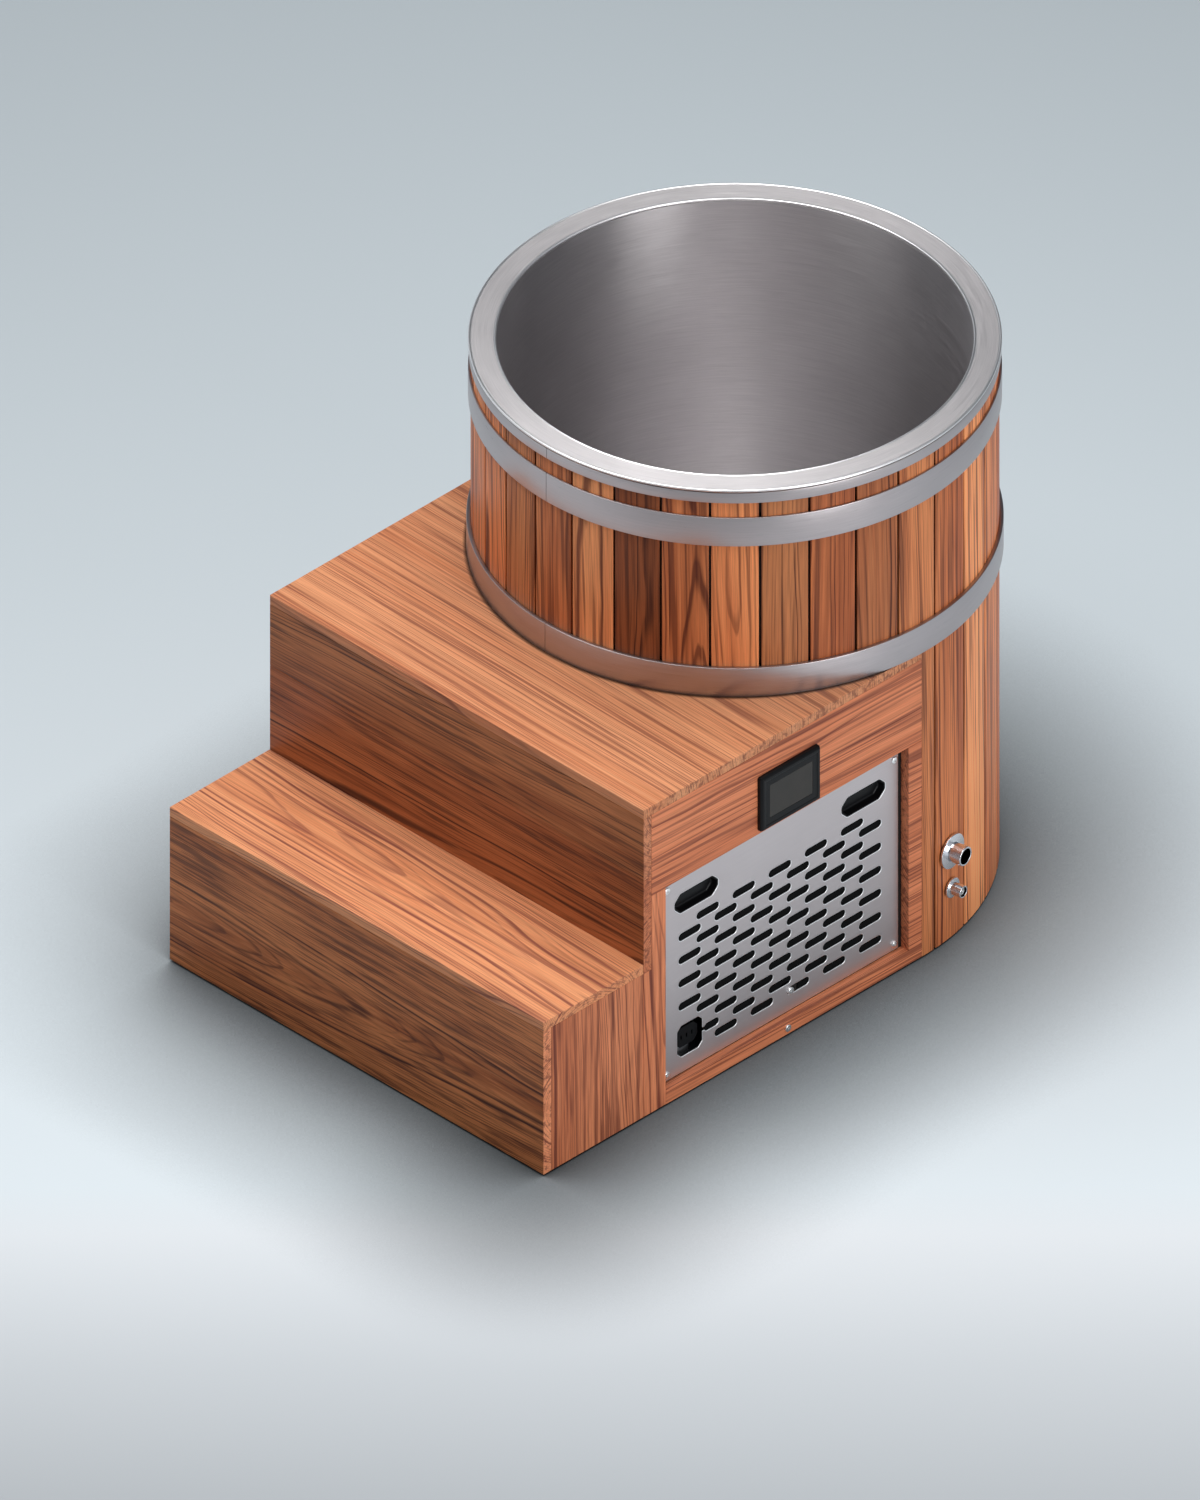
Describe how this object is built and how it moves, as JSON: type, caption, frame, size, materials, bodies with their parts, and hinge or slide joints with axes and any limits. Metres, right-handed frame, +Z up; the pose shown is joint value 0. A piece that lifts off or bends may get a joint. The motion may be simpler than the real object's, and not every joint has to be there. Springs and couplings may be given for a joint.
{
  "type": "barrel cold plunge tub",
  "caption": "Wood-stave barrel cold plunge tub with a steel liner, steel hoops and a stepped wooden deck that houses its chiller behind a slotted steel service panel.",
  "frame": {"origin": "on the barrel axis at the floor, on the underside of the middle foot", "axes": "+Z up along the barrel axis, +Y the way the steps climb, from the front of the steps to the barrel, +X to the side with the service panel and the water ports"},
  "size_m": [0.8734, 1.277, 1],
  "materials": {
    "deck_wood": "satin oiled softwood, bright orange tan with straight grain",
    "riser_wood": "satin oiled softwood, darker brown",
    "case_wood": "satin oiled softwood, mid orange brown",
    "stave_wood": "satin oiled softwood staves in mixed tones",
    "frame_wood": "plain unfinished softwood and plywood",
    "tub_steel": "stainless steel brushed round the tub",
    "hoop_steel": "satin stainless steel band",
    "panel_steel": "fine satin stainless steel sheet",
    "polished_steel": "polished stainless steel",
    "foam": "pale closed-cell foam",
    "rubber": "black rubber",
    "black_plastic": "black moulded plastic, soft sheen",
    "screen_glass": "dark grey blank screen",
    "filter_mesh": "black woven mesh and pleated media",
    "white_plastic": "white rigid pipe plastic",
    "blue_plastic": "blue moulded cap",
    "cable_sheath": "black cable sheath",
    "grey_metal": "grey painted sheet steel",
    "motor_black": "black painted steel",
    "coil_metal": "aluminium fins",
    "copper_tube": "bare copper tube"
  },
  "bodies": {
    "tub": {"base_panel": "frame_wood", "feet": "rubber", "lower_riser": "riser_wood", "lower_tread": "deck_wood", "upper_riser": "riser_wood", "deck_panel": "deck_wood", "step_side_right": "case_wood", "step_side_left": "case_wood", "side_wall_left": "case_wood", "stile_right": "case_wood", "top_rail_right": "case_wood", "bottom_rail_right": "case_wood", "rear_stile_right": "case_wood", "panel_cleats": "frame_wood", "frame_battens": "frame_wood", "staves_front": "stave_wood", "staves_back": "stave_wood", "port_stave": "stave_wood", "tub_liner": "tub_steel", "rim_ring": "tub_steel", "top_band": "hoop_steel", "upper_hoop": "hoop_steel", "lower_hoop": "hoop_steel", "insulation_jacket": "foam", "insulation_base": "foam", "large_port": "polished_steel", "small_port": "polished_steel", "port_gaskets": "rubber", "bulkhead_nuts": "polished_steel", "wall_fittings": "white_plastic", "suction_strainer": "white_plastic", "power_inlet": "black_plastic", "controller_bezel": "black_plastic", "controller_screen": "screen_glass", "controller_body": "black_plastic", "rail_screw": "polished_steel", "control_box": "grey_metal", "wiring": "cable_sheath", "component_tray": "grey_metal", "condenser_coil": "coil_metal", "fan_shroud": "grey_metal", "motor_bracket": "grey_metal", "fan_motor": "motor_black", "compressor": "motor_black", "compressor_mounts": "rubber", "heat_exchanger": "motor_black", "pump_body": "motor_black", "pump_motor": "motor_black", "filter_housing": "white_plastic", "filter_cartridge": "filter_mesh", "water_pipes": "white_plastic", "refrigerant_lines": "copper_tube"},
    "service_panel": {"service_panel": "panel_steel", "pull_cups": "black_plastic", "panel_screws": "polished_steel", "dust_filter": "filter_mesh"},
    "fan": {"fan_rotor": "motor_black"},
    "impeller": {"pump_impeller": "polished_steel"},
    "drain_plug": {"drain_plug": "polished_steel"},
    "filter_cap": {"filter_cap": "blue_plastic"}
  },
  "joints": [
    {"name": "panel_pull_out", "type": "slide", "parent": "tub", "child": "service_panel", "axis": [1, 0, 0], "range_m": [0, 0.15]},
    {"name": "fan_spin", "type": "hinge", "parent": "tub", "child": "fan", "pos_m": [0.313, -0.36589, 0.235], "axis": [1, 0, 0], "continuous": true},
    {"name": "impeller_spin", "type": "hinge", "parent": "tub", "child": "impeller", "pos_m": [0.07, -0.55, 0.095], "axis": [1, 0, 0], "continuous": true},
    {"name": "drain_plug_out", "type": "slide", "parent": "tub", "child": "drain_plug", "axis": [0.9862, 0.1658, 0], "range_m": [0, 0.03]},
    {"name": "filter_cap_turn", "type": "hinge", "parent": "tub", "child": "filter_cap", "pos_m": [0.284, -0.55, 0.33], "axis": [0, 0, 1], "range_deg": [0, 90]}
  ]
}
